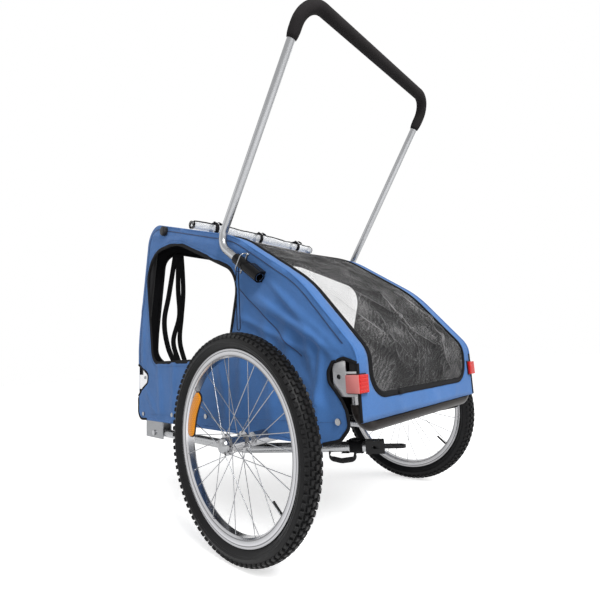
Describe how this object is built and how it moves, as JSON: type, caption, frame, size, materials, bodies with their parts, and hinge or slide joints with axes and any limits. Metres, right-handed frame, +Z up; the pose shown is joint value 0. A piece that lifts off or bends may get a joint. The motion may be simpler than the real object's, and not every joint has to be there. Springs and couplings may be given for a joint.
{
  "type": "dog bike trailer",
  "caption": "Two-wheeled pet trailer with a cloth cabin on a tube frame, an open front entry, side windows, a hinged net rear door, a push handle and a stowed tow arm.",
  "frame": {"origin": "on the floor, under the middle of the overall box", "axes": "+X to the rear, +Y to the trailer's right, +Z up"},
  "size_m": [0.992, 0.82, 1.2854],
  "materials": {
    "steel": "satin zinc",
    "pressed_steel": "bright zinc",
    "alloy": "brushed",
    "black_plastic": "fine grain",
    "bumper_vinyl": "soft sheen",
    "blue_cloth": "coated polyester weave",
    "black_tape": "woven tape",
    "net": "open net",
    "mat_cloth": "coated weave",
    "foam": "foam",
    "tyre_rubber": "matte",
    "tube_rubber": "matte",
    "red_lens": "clear prism",
    "orange_lens": "clear prism",
    "clear_film": "clear film"
  },
  "bodies": {
    "chassis": {"axle_saddles": "steel", "axle_tube": "steel", "axles": "steel", "bar_knobs": "black_plastic", "bracket_bolts": "steel", "bumper_sleeve": "bumper_vinyl", "corner_brackets": "pressed_steel", "cross_bars": "steel", "door_borders": "blue_cloth", "floor_board": "black_plastic", "floor_mat": "mat_cloth", "front_frame": "steel", "front_panel": "blue_cloth", "handle_sleeves": "black_plastic", "hem_snaps": "steel", "lamp_backs": "black_plastic", "lamp_lenses": "red_lens", "left_hoop": "steel", "right_hoop": "steel", "left_panel": "blue_cloth", "right_panel": "blue_cloth", "left_tether": "black_tape", "right_tether": "black_tape", "rain_roll": "clear_film", "rear_frame": "steel", "rear_panel": "blue_cloth", "roll_ties": "black_tape", "roof_panel": "blue_cloth", "side_rails": "steel", "sleeve_feet": "black_plastic", "tow_bracket": "pressed_steel", "tow_pin": "steel", "window_bindings": "black_tape"},
    "left_wheel": {"left_tyre": "tyre_rubber", "left_inner_tube": "tube_rubber", "left_rim": "alloy", "left_spokes": "steel", "left_hub": "alloy", "left_bearings": "steel", "left_hub_cap": "alloy", "left_spoke_reflector": "orange_lens"},
    "right_wheel": {"right_tyre": "tyre_rubber", "right_inner_tube": "tube_rubber", "right_rim": "alloy", "right_spokes": "steel", "right_hub": "alloy", "right_bearings": "steel", "right_hub_cap": "alloy", "right_spoke_reflector": "orange_lens"},
    "push_handle": {"handle_bar": "steel", "handle_grip": "foam"},
    "rear_door": {"door_net": "net", "door_zip": "black_tape"},
    "tow_bar": {"tow_arm": "steel", "hitch_block": "black_plastic", "tongue_pin": "steel", "tow_strap": "black_tape"},
    "tongue": {"hitch_tongue": "black_plastic"},
    "left_pin": {"left_snap_pin": "steel"},
    "right_pin": {"right_snap_pin": "steel"}
  },
  "joints": [
    {"name": "left_wheel_spin", "type": "hinge", "parent": "chassis", "child": "left_wheel", "pos_m": [0.198, -0.367, 0.25], "axis": [0, 1, 0], "continuous": true},
    {"name": "right_wheel_spin", "type": "hinge", "parent": "chassis", "child": "right_wheel", "pos_m": [0.198, 0.367, 0.25], "axis": [0, 1, 0], "continuous": true},
    {"name": "handle_pull", "type": "slide", "parent": "chassis", "child": "push_handle", "axis": [-0.8018, 0, 0.5976], "range_m": [0, 0.13]},
    {"name": "rear_door_open", "type": "hinge", "parent": "chassis", "child": "rear_door", "pos_m": [-0.09318, 0, 0.84055], "axis": [0, -1, 0], "range_deg": [0, 60]},
    {"name": "tow_arm_swing", "type": "hinge", "parent": "chassis", "child": "tow_bar", "pos_m": [-0.388, -0.258, 0.205], "axis": [0, 1, 0], "range_deg": [0, 180]},
    {"name": "hitch_tongue_turn", "type": "hinge", "parent": "tow_bar", "child": "tongue", "pos_m": [0.3765, -0.06406, 0.205], "axis": [0, 0, 1], "range_deg": [-25, 25]},
    {"name": "left_pin_pull", "type": "slide", "parent": "chassis", "child": "left_pin", "axis": [0.5976, 0, 0.8018], "range_m": [0, 0.05]},
    {"name": "right_pin_pull", "type": "slide", "parent": "chassis", "child": "right_pin", "axis": [0.5976, 0, 0.8018], "range_m": [0, 0.05]}
  ]
}
